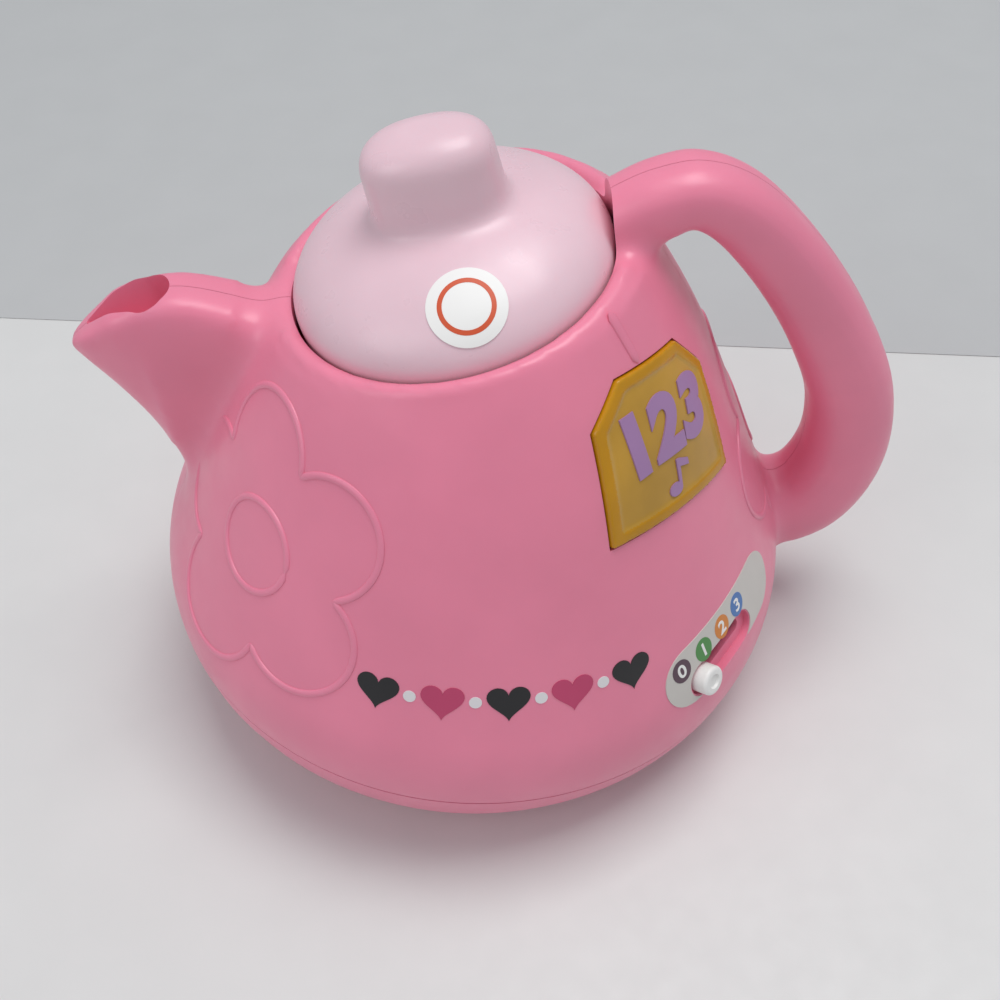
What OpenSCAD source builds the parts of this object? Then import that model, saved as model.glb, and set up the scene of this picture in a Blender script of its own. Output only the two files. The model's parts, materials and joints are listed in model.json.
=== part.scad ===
// Toy teapot: a battery toy of two pink body halves, a base tray, a press lid,
// an amber tag button and a slide switch for the play level.
// Millimetres. +Z up, the spout points to -X, the handle to +X, the front is -Y.
// The origin is on the table, under the middle of the base.

/* [Body] */
// Largest radius of the body
belly_r = 73; // [66:0.5:80]
// Height of the largest radius above the body's lowest point
belly_h = 34; // [32:0.5:36]
// Radius of the round above the belly
belly_round = 34; // [31:0.5:38]
// Slope of the side wall, from upright
side_angle = 23.8; // [22:0.2:25]
// Height where the side wall turns into the shoulder
shoulder_h = 85.5; // [82:0.5:89]
// Height of the rim along the body's axis
rim_h = 116; // [114:0.5:118]
// Outer radius of the rim
rim_r = 37.25; // [36:0.25:38.5]
// Wall of the body halves and of the base tray
wall = 2.6; // [2:0.1:3.2]
// How far the body's axis leans towards the handle, in degrees
lean = 4.1; // [2:0.1:5]
// Slope of the rim and the lid, lower on the spout side, in degrees
rim_tilt = 9.7; // [8:0.1:11]
// How much of the round bottom is cut off flat
base_cut = 3; // [2:0.25:4]

/* [Seam] */
// Height of the seam between the body halves and the base tray
seam_h = 27; // [25:0.5:29]
// Slope of the seam, higher on the spout side, in degrees
seam_tilt = 5.8; // [4:0.2:6.6]
// Open groove along the seam
seam_gap = 0.4; // [0.2:0.1:0.8]

/* [Spout] */
// How far the tip of the spout stands out from the origin
spout_reach = 76; // [73:0.5:80]
// Height of the tip
spout_tip_h = 99; // [97:0.5:101]
// Height of the lip at the rear of the mouth
spout_lip_h = 111.8; // [110:0.2:113]
// Half width of the mouth at its widest
mouth_half_w = 8; // [7:0.2:8.8]
// Wall round the mouth
mouth_wall = 1.6; // [1.4:0.1:2]
// Depth of the blind mouth
mouth_depth = 6; // [4.5:0.5:7.5]

/* [Handle] */
// Half thickness of the handle at its top, seen from the front
handle_top_half = 6.5; // [5.5:0.25:7.5]
// Half thickness of the handle at its lower end, seen from the front
handle_low_half = 11; // [9.5:0.25:12]
// Half width of the handle, front to back
handle_half_w = 8; // [7:0.25:9.5]

/* [Lid] */
// Gap round the lid
lid_gap = 0.6; // [0.4:0.1:1]
// Width of the rounded rim
lip_w = 4.2; // [3.8:0.1:4.8]
// Height of the lid's dome above the rim
dome_h = 15.5; // [13:0.5:17]
// Wall of the lid
lid_wall = 2; // [1.6:0.1:2.6]
// Length of the knob
knob_l = 26.5; // [23:0.5:30]
// Width of the knob
knob_w = 18.5; // [16:0.5:21]
// Shift of the knob towards the handle
knob_shift = 1.2; // [0:0.1:2]
// Height of the knob above the dome
knob_h = 16; // [13:0.5:18]
// Travel of the lid when it is pressed
lid_travel = 3; // [2:0.25:3.5]
// Diameter of the round sticker
sticker_d = 15; // [12:0.5:17]

/* [Tag button] */
// Direction of the tag from the front, towards the handle, in degrees
tag_az = 46; // [43:1:49]
// Height of the tag's middle along the body's axis
tag_h = 98.5; // [97:0.5:100]
// Width of the tag at its lower edge
tag_low_w = 36.5; // [34:0.5:38]
// Width of the tag at its shoulders
tag_top_w = 33.5; // [31:0.5:35]
// Length of the tag
tag_l = 31.5; // [29:0.5:32.5]
// Turn of the tag in its own plane, in degrees
tag_turn = 6; // [0:1:10]
// Cut of the tag's upper corners
tag_clip = 7.5; // [5:0.5:9]
// How far the tag stands proud of the body
tag_proud = 0.8; // [0.5:0.1:1.8]
// Travel of the tag when it is pressed
tag_travel = 1.5; // [1:0.1:1.8]
// Gap round the tag
tag_gap = 0.4; // [0.3:0.05:0.6]

/* [Level slider] */
// Direction of the slot's middle from the front, in degrees
slot_az = 46; // [43:1:48]
// Height of the slot along the body's axis
slot_h = 47; // [45:0.5:47.5]
// Slope of the slot, higher towards the handle, in degrees
slot_turn = 7; // [0:1:10]
// Travel of the slider from 0 to 3
slot_travel = 15; // [12:0.5:17]
// Width of the slot's pocket
slot_w = 8; // [7:0.25:9]
// Diameter of the slider's knob
slider_d = 6.6; // [5.5:0.1:7.4]

/* [Hidden] */
$fn = 72;
// Small overlap that lets a cutter pass through a face
eps = 0.05;
// Half size of the blocks that cut the body apart
big = 300;
// Play between two pieces of one body
seat = 0.1;
// Play between pieces that move past each other
play = 0.35;

pink = "#e493a5";
pale_pink = "#e8ccd4";
white = "#f2f0ee";
amber = "#d99a1e";
steel = "#b9bcc2";
board_green = "#3f7d55";
black = "#2b2b2d";

// Outline of the body: lower round, belly round, side wall, shoulder round
belly_c = [belly_r - belly_round, belly_h];
low_c = [belly_r - belly_h, belly_h];
side_start = belly_c + belly_round * [cos(side_angle), sin(side_angle)];
shoulder_r = side_start[0] - (shoulder_h - side_start[1]) * tan(side_angle);
neck_r = rim_r - 0.5;
rim_angle = 2 * atan((shoulder_r - neck_r) / (rim_h - shoulder_h)) - side_angle;
shoulder_round = (rim_h - shoulder_h) / (sin(rim_angle) - sin(side_angle));
shoulder_c = [shoulder_r - shoulder_round * cos(side_angle),
    shoulder_h - shoulder_round * sin(side_angle)];
// Slope of the rim against the body's axis, and the middle of the sloping rim
rim_skew = rim_tilt + lean;
rim_x = -neck_r * tan(rim_angle) * tan(rim_skew);
// The outline runs on above the rim, where the slope needs it
crown_h = rim_h + rim_r * tan(rim_skew) + 2;
crown_angle = asin((crown_h - shoulder_c[1]) / shoulder_round);
rim_in = rim_r - lip_w;
lid_r = rim_in - lid_gap;
// The sleeve below the rim that guides the lid
sleeve_h = 9;
sleeve_low = rim_h - sleeve_h;

function arc(c, r, a, b, n) = [for (i = [0:n]) c + r * [cos(a + (b - a) * i / n), sin(a + (b - a) * i / n)]];
// Side of the body, d inside its outer face, from the bottom to the rim
function side(d) = concat(
    arc(low_c, belly_h - d, -90, 0, 12),
    arc(belly_c, belly_round - d, 4, side_angle, 3),
    arc(shoulder_c, shoulder_round - d, side_angle, crown_angle, 6));
// Outer radius of the body at height h on its axis
function body_r(h) = h < side_start[1] ? belly_c[0] + sqrt(pow(belly_round, 2) - pow(h - belly_h, 2))
    : h < shoulder_h ? side_start[0] - (h - side_start[1]) * tan(side_angle)
    : shoulder_c[0] + sqrt(pow(shoulder_round, 2) - pow(h - shoulder_c[1], 2));

// The body's leaning axis
module leaning() {
    translate([0, 0, -base_cut]) rotate([0, lean, 0]) children();
}

// The axis of the sloping rim and the lid, with the rim at rim_h
module tilted() {
    leaning() translate([rim_x, 0, rim_h + rim_x * tan(rim_skew)]) rotate([0, -rim_skew, 0])
        translate([0, 0, -rim_h]) children();
}

// A place on the body's face: X along the body, Y up the wall, Z outwards
module on_wall(az, h, slope) {
    leaning() rotate([0, 0, az]) translate([0, -body_r(h), h]) rotate([90 - slope, 0, 0]) children();
}

// Everything above the seam, moved down by drop
module above_seam(drop = 0) {
    translate([0, 0, seam_h - drop]) rotate([0, seam_tilt, 0]) translate([-big, -big, 0]) cube(2 * big);
}

// Everything below the seam, moved down by drop
module below_seam(drop = 0) {
    translate([0, 0, seam_h - drop]) rotate([0, seam_tilt, 0]) translate([-big, -big, -2 * big]) cube(2 * big);
}

// Everything below the rim, moved down by drop
module below_rim(drop) {
    tilted() translate([-big, -big, rim_h - drop - 2 * big]) cube(2 * big);
}

module body_solid(d) {
    intersection() {
        leaning() rotate_extrude() polygon(concat([[0, d]], side(d), [[0, side(d)[len(side(d)) - 1][1]]]));
        below_rim(d);
    }
}

// Rounded edge of the rim
rim_edge = concat([[rim_r - 0.3, rim_h - wall / 2]], arc([rim_r - lip_w / 2, rim_h], lip_w / 2 - 0.2, 15, 165, 5),
    [[rim_in - 1, rim_h + 0.4], [rim_in - 1, rim_h - wall / 2]]);

// Body with its rounded rim
module rimmed_solid() {
    body_solid(0);
    tilted() rotate_extrude() polygon(rim_edge);
}

// Solid through a row of rings with the same number of points
module loft(rings) {
    n = len(rings[0]);
    m = len(rings);
    end = (m - 1) * n;
    polyhedron(
        points = [for (ring = rings) each ring],
        faces = concat(
            [for (i = [1:n - 2]) [0, i, i + 1]],
            [for (j = [0:m - 2]) for (i = [0:n - 1]) each [
                [j * n + i, (j + 1) * n + i, (j + 1) * n + (i + 1) % n],
                [j * n + i, (j + 1) * n + (i + 1) % n, j * n + (i + 1) % n]]],
            [for (i = [1:n - 2]) [end, end + i + 1, end + i]]));
}

// Straight value through a list of [position, value] rows
function along(rows, x, i = 0) = i >= len(rows) - 2 || x <= rows[i + 1][0]
    ? rows[i][1] + (rows[i + 1][1] - rows[i][1]) * (x - rows[i][0]) / (rows[i + 1][0] - rows[i][0])
    : along(rows, x, i + 1);

// Spout: outlines over the distance from the axis, out to the tip
spout_root = 28;
mouth_rear = spout_reach - 24;
spout_top = [[spout_root, spout_lip_h - 9], [spout_root + 10, spout_lip_h - 5], [mouth_rear - 4, spout_lip_h - 1],
    [mouth_rear + 2, spout_lip_h], [spout_reach - 15, spout_lip_h - 0.7], [spout_reach - 9, spout_lip_h - 3.5],
    [spout_reach - 3, spout_lip_h - 8.5], [spout_reach, spout_tip_h + 1.5]];
spout_low = [[spout_root, 44], [spout_reach - 15.4, 54], [spout_reach - 14.4, 62], [spout_reach - 12.6, 71.8],
    [spout_reach - 9.9, 79.6], [spout_reach - 6.3, 87.1], [spout_reach - 3, 93], [spout_reach, spout_tip_h - 1]];
spout_half = [[spout_root, mouth_half_w + 2], [mouth_rear - 4, mouth_half_w + 0.5], [spout_reach - 15, mouth_half_w],
    [spout_reach - 9, mouth_half_w - 1], [spout_reach - 3, mouth_half_w - 3.5], [spout_reach, 2]];
spout_stations = [spout_root, spout_root + 10, mouth_rear - 4, mouth_rear + 2, spout_reach - 15.4, spout_reach - 14.4,
    spout_reach - 12.6, spout_reach - 9.9, spout_reach - 6.3, spout_reach - 3, spout_reach - 1.2, spout_reach];
spout_sides = 20;
spout_square = 0.42;
// Bulge of a section: a sine or cosine pushed towards a square outline
function bulge(a, p) = sign(a) * pow(abs(a), p);
// Share of the half width over the height of a section: a keel below, full at the top
function keel(t) = 0.2 + 0.8 * pow(t, 0.7);
function spout_ring(x) = let (top = along(spout_top, x), low = along(spout_low, x), half = along(spout_half, x))
    [for (i = [0:spout_sides - 1]) let (a = 360 * i / spout_sides, t = (1 - bulge(cos(a), spout_square)) / 2)
        [-x, -half * bulge(sin(a), spout_square) * keel(t), low + (top - low) * t]];

module spout() {
    loft([for (x = spout_stations) spout_ring(x)]);
}

// Blind mouth of the spout, a drop shape that narrows to the tip
mouth_slope = atan((spout_lip_h - spout_tip_h) / (spout_reach - mouth_rear));
mouth_l = spout_reach - mouth_rear - 5;
mouth_r = mouth_half_w - 1.6 * mouth_wall;
mouth_tip_r = 0.8;
module spout_mouth() {
    translate([-mouth_rear - mouth_wall, 0, spout_lip_h]) rotate([0, -mouth_slope, 0])
        translate([0, 0, -mouth_depth]) linear_extrude(3 * mouth_depth)
            hull() {
                translate([-mouth_r, 0]) circle(mouth_r, $fn = 32);
                translate([-mouth_l, 0]) circle(mouth_tip_r, $fn = 16);
            }
}

// Handle: middle line from the rim to the belly, in the plane of the spout
handle_path = [[28, 114.5], [35.5, 119.5], [43, 124], [50.2, 125.2], [59.5, 119.2], [71.4, 104], [81.4, 86.6],
    [88.6, 68], [89.5, 49], [82.5, 34.5], [67, 30]];
handle_sides = 16;
root_extra = 2.5;
// Smooth point on the middle line
function path_at(s) = let (n = len(handle_path) - 1, i = min(floor(s), n - 1), t = s - i,
    a = handle_path[max(i - 1, 0)], b = handle_path[i], c = handle_path[i + 1], d = handle_path[min(i + 2, n)])
    0.5 * (2 * b + t * (c - a) + t * t * (2 * a - 5 * b + 4 * c - d) + t * t * t * (3 * b - a - 3 * c + d));
function heading(s) = let (e = 0.02, n = len(handle_path) - 1,
    v = path_at(min(s + e, n)) - path_at(max(s - e, 0))) v / norm(v);
function handle_ring(s) = let (n = len(handle_path) - 1, p = path_at(s), v = heading(s), side = [-v[1], v[0]],
    thick = handle_top_half + (handle_low_half - handle_top_half) * min(1, max(0, (s - 3) / (n - 4)))
        + root_extra * max(0, 1 - s / 2.5),
    deep = handle_half_w + 2 * max(0, 2 * s / n - 1))
    [for (i = [0:handle_sides - 1]) let (a = 360 * (i + 0.5) / handle_sides,
        c = bulge(cos(a), 0.8), q = bulge(sin(a), 0.8))
        [p[0] + side[0] * thick * c, -deep * q, p[1] + side[1] * thick * c]];

module handle() {
    loft([for (k = [0:2 * (len(handle_path) - 1)]) handle_ring(k / 2)]);
}

// Tag: an upright outline with cut upper corners, grown by g on every side
tag_slope = asin((tag_h - shoulder_c[1]) / shoulder_round);
tag_rim = 3;
bezel_rim = 3.6;
bezel_in = 2.2;
tag_skin = 2;
tag_side = 2.4;
tag_ledge = 1.8;
pad_out = 1.4;
pad_in = 2.6;
board_out = 2;
carrier_clear = 4.5;
lid_clear = 1.2;
tag_high = 4;
// How far the wall falls away under the corners of the frame
tag_fall = cos(tag_slope) * (body_r(tag_h) - sqrt(pow(body_r(tag_h), 2) - pow(tag_low_w / 2 + bezel_rim, 2)))
    + shoulder_round - sqrt(pow(shoulder_round, 2) - pow(tag_l / 2 + bezel_rim, 2));
tag_seat = -tag_fall - wall - play;
tag_flange = 1.4;
tag_flange_top = tag_seat - play;
tag_flange_low = tag_flange_top - tag_flange;
tag_board_t = 1.2;
tag_board_top = tag_flange_low - tag_travel - 0.5;
tag_board_low = tag_board_top - tag_board_t;
bezel_floor = 1.2;
bezel_low = tag_board_low - seat - bezel_floor;
function tag_points(g) = let (top = tag_l / 2 + g, low = -tag_l / 2 - g, k = 0.42 * g)
    [[-tag_low_w / 2 - g, low], [tag_low_w / 2 + g, low], [tag_top_w / 2 + g, tag_l / 2 - tag_clip + k],
    [tag_top_w / 2 - tag_clip + k, top], [-tag_top_w / 2 + tag_clip - k, top],
    [-tag_top_w / 2 - g, tag_l / 2 - tag_clip + k]];

module at_tag() {
    on_wall(tag_az, tag_h, tag_slope) rotate([0, 0, -tag_turn]) children();
}

// Plate in the tag's outline between two depths
module tag_plate(g, low, top) {
    at_tag() translate([0, 0, low]) linear_extrude(top - low) polygon(tag_points(g));
}

// Slot of the level slider
slot_slope = asin((slot_h - belly_h) / belly_round);
pocket_floor = -2.4;
slot_back = -4.4;
stem_w = 2.4;

module stadium(l, w) {
    square([l, w], center = true);
    for (s = [-1, 1]) translate([s * l / 2, 0]) circle(w / 2, $fn = 32);
}

module at_slot() {
    on_wall(slot_az, slot_h, slot_slope) rotate([0, 0, slot_turn]) children();
}

// Screws: a round head and a plain shank along +Z, the head's face at 0
module screw(head_r, head_h, shank_r, l) {
    cylinder(r = head_r, h = head_h, $fn = 32);
    translate([0, 0, head_h - eps]) cylinder(r = shank_r, h = l + eps, $fn = 32);
}

// Places of the screws that join the halves: two in the body, two in the handle
shell_screw_at = [[-46, 60, 0], [52, 64, 0], [88.5, 66, 1], [51, 124.8, 1]];
shell_head_r = 3;
shell_head_h = 2.2;
shell_shank_r = 1.4;
shell_boss_r = 4.2;
// Length of the screw on each side of the parting plane
shell_bite = 5.5;
shell_grip = 5;
bore_play = 0.15;

// Cylinder across the pot at a shell screw, from y0 to y1
module across(at, r, y0, y1) {
    translate([at[0], y0, at[1]]) rotate([-90, 0, 0]) cylinder(r = r, h = y1 - y0, $fn = 32);
}

// Places of the base screws: direction from the front
base_boss_at = [-15, 105, 225];
base_boss_r = 4.5;
base_boss_out = 54;
base_rib = 2;
base_shank_r = 1.4;
base_head_r = 3;
base_head_h = 2.2;
base_head_low = seam_h - 10;
base_bite = 16;
base_spare = 6;
module at_base_bosses() {
    for (a = base_boss_at) rotate([0, 0, a]) translate([0, -base_boss_out, 0]) children();
}

// Boss with a rib that ties it to the wall
module base_boss(h) {
    cylinder(r = base_boss_r, h = h, $fn = 32);
    translate([-base_rib / 2, -belly_r, 0]) cube([base_rib, belly_r, h]);
}

// Lid carrier, screwed to three bosses below the rim
carrier_top = rim_h - 24;
carrier_t = 2.2;
carrier_boss_at = [-60, 117, 222];
carrier_boss_out = 36.5;
carrier_boss_r = 3.6;
carrier_shank_r = 1.3;
carrier_head = [2.6, 2];
carrier_bite = 8.5;
module at_carrier_bosses() {
    tilted() for (a = carrier_boss_at) rotate([0, 0, a]) translate([0, -carrier_boss_out, 0]) children();
}

module body_with_limbs() {
    rimmed_solid();
    spout();
    handle();
}

// Inner ribs and bosses of the halves
module shell_bosses() {
    tilted() rotate_extrude() translate([rim_in - 1, sleeve_low]) square([wall + 1, sleeve_h - wall / 2]);
    intersection() {
        body_solid(wall / 2);
        union() {
            for (at = shell_screw_at) if (at[2] == 0) across(at, shell_boss_r, -belly_r, belly_r);
            at_base_bosses() base_boss(belly_h);
            at_carrier_bosses() translate([0, 0, carrier_top]) cylinder(r = carrier_boss_r, h = rim_h, $fn = 32);
        }
    }
}

module shell_cuts() {
    tilted() translate([0, 0, sleeve_low - eps]) cylinder(r = rim_in, h = big);
    spout_mouth();
    below_seam();
    at_base_bosses() cylinder(r = base_shank_r + bore_play, h = seam_h + base_bite, $fn = 32);
    at_carrier_bosses() translate([0, 0, carrier_top - eps]) cylinder(r = carrier_shank_r + bore_play, h = 11, $fn = 32);
    for (at = shell_screw_at) across(at, shell_shank_r + bore_play, -shell_bite - 0.5, shell_grip + 1);
    for (at = shell_screw_at) across(at, shell_head_r + bore_play, shell_grip, belly_r);
}

module front_shell() {
    color(pink) difference() {
        union() {
            difference() {
                body_with_limbs();
                body_solid(wall);
            }
            shell_bosses();
            intersection() {
                body_solid(wall / 2);
                tag_plate(tag_rim, tag_seat, 0);
            }
            intersection() {
                body_solid(wall / 2);
                at_slot() translate([0, 0, slot_back]) linear_extrude(-slot_back) stadium(slot_travel + 4, slot_w + 6);
            }
        }
        shell_cuts();
        tag_plate(tag_gap, -20, 20);
        at_slot() translate([0, 0, pocket_floor]) linear_extrude(20) stadium(slot_travel, slot_w);
        at_slot() translate([0, 0, slot_back - 6]) linear_extrude(20) stadium(slot_travel, stem_w + 2 * play);
        translate([-big, 0, -big]) cube(2 * big);
    }
}

module rear_shell() {
    color(pink) difference() {
        union() {
            difference() {
                body_with_limbs();
                body_solid(wall);
            }
            shell_bosses();
        }
        shell_cuts();
        translate([-big, -2 * big, -big]) cube(2 * big);
    }
}

module shell_screws() {
    color(steel) for (at = shell_screw_at)
        translate([at[0], shell_grip + shell_head_h, at[1]]) rotate([90, 0, 0])
            screw(shell_head_r, shell_head_h, shell_shank_r, shell_grip + shell_bite);
}

// Battery bay in the base tray
cell_d = 14.5;
cell_l = 49.5;
cell_nub = 1;
cell_pitch = 15;
cells = 3;
nub_d = 5.5;
// Room for the contact springs behind the cells
spring_room = 5.2;
contact_plate = [11, 12, 0.5];
contact_spring_r = [4.6, 2.8];
contact_spring_l = 5;
contact_button = [2.4, 1.1];
bay_x = 4;
bay_w = cells * cell_pitch + 1;
bay_l = cell_l + cell_nub + 6.5;
bay_wall = 3.8;
bay_roof = 1.8;
cell_z = wall + 0.4 + cell_d / 2;
bay_top = cell_z + cell_d / 2 + 0.5;
door_rim = 2;
door_gap = 0.25;
door_tab = [14, 9];
door_screw_y = -(bay_l / 2 + door_rim + door_tab[1] / 2);
door_shank_r = 1.4;
door_head_r = 3;
door_head_h = 1.6;
door_sink = 0.2;
door_screw_l = 9;
door_boss_r = door_shank_r + 2.8;
door_boss_h = 14;

// Speaker under the spout side of the base
speaker_x = -38;
speaker_r = 14;
speaker_rim = 3;
speaker_wall = 2;
magnet_r = 8;
frame_h = 2;
cone_h = 6;
clip_w = 1.6;
clip_h = 1.2;
speaker_h = 11;
speaker_seat = wall;
grille_gap = 2;
grille_pitch = 4.4;
grille_half = 9.5;
grille_step = 1.5;

// Main board on posts over the battery bay
board_size = [44, 34, 1.6];
board_z = bay_top + bay_roof + 6;
board_post_r = 3;
board_shank_r = 1.2;
board_head_r = 2.4;
board_head_h = 1.6;
board_bite = 5;
board_hole = [board_size[0] / 2 - 4, board_size[1] / 2 - 4];
module at_board_posts() {
    for (x = [-1, 1], y = [-1, 1]) translate([bay_x + x * board_hole[0], y * board_hole[1], 0]) children();
}

module block(w, l, low, top) {
    translate([bay_x - w / 2, -l / 2, low]) cube([w, l, top - low]);
}

module door_outline(gap) {
    translate([bay_x, 0]) square([bay_w + 2 * door_rim - 2 * gap, bay_l + 2 * door_rim - 2 * gap], center = true);
    translate([bay_x - door_tab[0] / 2 + gap, -bay_l / 2 - door_rim - door_tab[1] + gap])
        square([door_tab[0] - 2 * gap, door_tab[1] + 1]);
}

module base_cover() {
    color(pink) difference() {
        intersection() {
            union() {
                difference() {
                    body_solid(0);
                    intersection() {
                        body_solid(wall);
                        translate([-big, -big, wall]) cube(2 * big);
                    }
                }
                intersection() {
                    body_solid(wall / 2);
                    union() {
                        block(bay_w + 2 * bay_wall, bay_l + 2 * bay_wall, 0, bay_top + bay_roof);
                        at_board_posts() cylinder(r = board_post_r, h = board_z, $fn = 32);
                        translate([bay_x, door_screw_y, 0]) cylinder(r = door_boss_r, h = door_boss_h, $fn = 32);
                        at_base_bosses() base_boss(2 * seam_h);
                        translate([speaker_x, 0, 0]) cylinder(r = speaker_r + speaker_wall, h = speaker_seat + speaker_rim);
                    }
                }
            }
            below_seam(seam_gap);
            translate([-big, -big, 0]) cube(2 * big);
        }
        block(bay_w, bay_l, -eps, bay_top);
        translate([0, 0, -eps]) linear_extrude(wall + eps) door_outline(0);
        translate([bay_x, door_screw_y, 0]) cylinder(r = door_shank_r + bore_play, h = door_boss_h - 2, $fn = 32);
        at_board_posts() translate([0, 0, board_z - board_bite]) cylinder(r = board_shank_r + bore_play, h = board_bite + 1, $fn = 32);
        at_base_bosses() translate([0, 0, -eps]) cylinder(r = base_head_r + bore_play, h = base_head_low + base_head_h, $fn = 32);
        at_base_bosses() cylinder(r = base_shank_r + bore_play, h = 2 * seam_h, $fn = 32);
        translate([speaker_x, 0, speaker_seat]) cylinder(r = speaker_r + door_gap, h = speaker_h);
        for (i = [-2:2]) translate([speaker_x, i * grille_pitch, -eps])
            linear_extrude(2 * wall) stadium(2 * (grille_half - grille_step * abs(i)), grille_gap);
    }
}

module battery_door() {
    color(pink) difference() {
        translate([0, 0, door_sink]) linear_extrude(wall - door_sink - seat) door_outline(door_gap);
        translate([bay_x, door_screw_y, -eps]) cylinder(r = door_head_r + bore_play, h = door_head_h, $fn = 32);
        translate([bay_x, door_screw_y, -eps]) cylinder(r = door_shank_r + bore_play, h = 2 * wall, $fn = 32);
    }
}

module door_screw() {
    color(steel) translate([bay_x, door_screw_y, door_sink + seat])
        screw(door_head_r, door_head_h - door_sink - 2 * seat, door_shank_r, door_screw_l);
}

module base_screws() {
    color(steel) at_base_bosses() translate([0, 0, base_head_low - seat])
        screw(base_head_r, base_head_h, base_shank_r, seam_h - base_head_low + base_bite - base_spare);
}

module at_cells() {
    for (i = [0:cells - 1]) translate([bay_x + (i - (cells - 1) / 2) * cell_pitch, 0, cell_z])
        rotate([0, 0, 180 * (i % 2)]) children();
}

// Each cell lies with its nub towards -Y in its own frame
module batteries() {
    color(black) at_cells() translate([0, bay_l / 2 - spring_room, 0]) rotate([90, 0, 0]) {
        cylinder(d = cell_d, h = cell_l);
        translate([0, 0, cell_l - eps]) cylinder(d = nub_d, h = cell_nub + eps, $fn = 32);
    }
}

module spring_contacts() {
    color(steel) at_cells() translate([0, bay_l / 2 - seat, 0]) rotate([90, 0, 0]) {
        translate([-contact_plate[0] / 2, -contact_plate[1] / 2, 0]) cube(contact_plate);
        cylinder(r1 = contact_spring_r[0], r2 = contact_spring_r[1], h = contact_spring_l, $fn = 32);
    }
}

module button_contacts() {
    color(steel) at_cells() translate([0, -bay_l / 2 + seat, 0]) rotate([-90, 0, 0]) {
        translate([-contact_plate[0] / 2, -contact_plate[1] / 2, 0]) cube(contact_plate);
        cylinder(r = contact_button[0], h = contact_button[1], $fn = 32);
    }
}

module speaker() {
    color(black) translate([speaker_x, 0, speaker_seat + seat]) {
        cylinder(r = speaker_r, h = frame_h);
        cylinder(r1 = speaker_r - clip_w, r2 = magnet_r, h = cone_h);
        cylinder(r = magnet_r, h = speaker_h);
    }
}

module speaker_clip() {
    low = speaker_seat + frame_h + 2 * seat;
    color(white) translate([speaker_x, 0, low]) difference() {
        cylinder(r = speaker_r, h = clip_h);
        translate([0, 0, -eps]) cylinder(r = speaker_r - clip_w + seat, h = 2 * clip_h);
    }
}

module circuit_board() {
    color(board_green) difference() {
        translate([bay_x - board_size[0] / 2, -board_size[1] / 2, board_z + seat]) cube(board_size);
        at_board_posts() cylinder(r = board_shank_r + bore_play, h = 3 * board_z, $fn = 32);
    }
}

module board_screws() {
    top = board_z + board_size[2] + 2 * seat + board_head_h;
    color(steel) at_board_posts() translate([0, 0, top]) rotate([180, 0, 0])
        screw(board_head_r, board_head_h, board_shank_r, board_bite + 0.5);
}

tilt_at = [8, 6];
tilt_can = [4, 8];
tilt_foot = [4.8, 0.8];
module tilt_switch() {
    color(steel) translate([bay_x + tilt_at[0], tilt_at[1], board_z + board_size[2] + 2 * seat]) {
        cylinder(r = tilt_can[0], h = tilt_can[1], $fn = 32);
        cylinder(r = tilt_foot[0], h = tilt_foot[1], $fn = 32);
    }
}

// Lid: an elliptic dome over a short skirt
skirt_low = rim_h - 8;
lug_low = sleeve_low - play - 3;
lug_at = [-20, 95, 200];
lug_reach = 2.4;
lug_angle = 14;
leg_in = lid_r - lid_wall + 0.3;
leg_out = lid_r - 0.3;
post_r = 2.5;
post_out = 19;
post_top = carrier_top + 16;
tube_low = carrier_top + 14;
switch_h = 5;
switch_w = 6;
switch_button = [1.7, 1.2];
tube_wall = 1.6;
pusher_r = 3;
spring_wall = 1.5;
pusher_low = carrier_top + switch_h + lid_travel + 0.6;

function dome(d) = [for (a = [0:7.5:90]) [(lid_r - d) * cos(a), rim_h + (dome_h - d) * sin(a)]];

module dome_solid(d, low) {
    rotate_extrude() polygon(concat([[0, low], [lid_r - d, low]], dome(d)));
}

module at_posts() {
    for (s = [-1, 1]) translate([s * post_out, 0, 0]) children();
}

// Knob: oval rings from inside the dome to the soft top, as [height, share of the full width]
knob_rings = [[-5, 1.1], [-1.5, 1.06], [0.5, 1], [knob_h - 9, 0.97], [knob_h - 5, 0.95], [knob_h - 2.6, 0.84],
    [knob_h - 1, 0.62], [knob_h, 0.3]];
knob_sides = 24;
function knob_ring(row) = [for (i = [0:knob_sides - 1]) let (a = 360 * i / knob_sides)
    [knob_shift + row[1] * knob_l / 2 * bulge(cos(a), 0.8), row[1] * knob_w / 2 * bulge(sin(a), 0.9), rim_h + dome_h + row[0]]];

module knob() {
    loft([for (row = knob_rings) knob_ring(row)]);
}

module lid() {
    color(pale_pink) tilted() difference() {
        union() {
            difference() {
                dome_solid(0, skirt_low);
                dome_solid(lid_wall, skirt_low - 1);
            }
            knob();
            intersection() {
                dome_solid(lid_wall / 2, lug_low - 20);
                union() {
                    at_posts() translate([0, 0, tube_low]) cylinder(r = post_r + play + tube_wall, h = big, $fn = 32);
                    translate([0, 0, pusher_low]) cylinder(r = pusher_r, h = big, $fn = 32);
                }
            }
            for (a = lug_at) rotate([0, 0, a - 90 - lug_angle / 2]) rotate_extrude(angle = lug_angle)
                polygon([[leg_in, lug_low], [lid_r + lug_reach, lug_low], [lid_r + lug_reach, lug_low + 1.6],
                    [leg_out, lug_low + 3], [leg_out, skirt_low + 1], [leg_in, skirt_low + 1]]);
        }
        at_posts() translate([0, 0, tube_low - 1]) cylinder(r = post_r + play, h = post_top - tube_low + lid_travel + 2, $fn = 32);
    }
}

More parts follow.
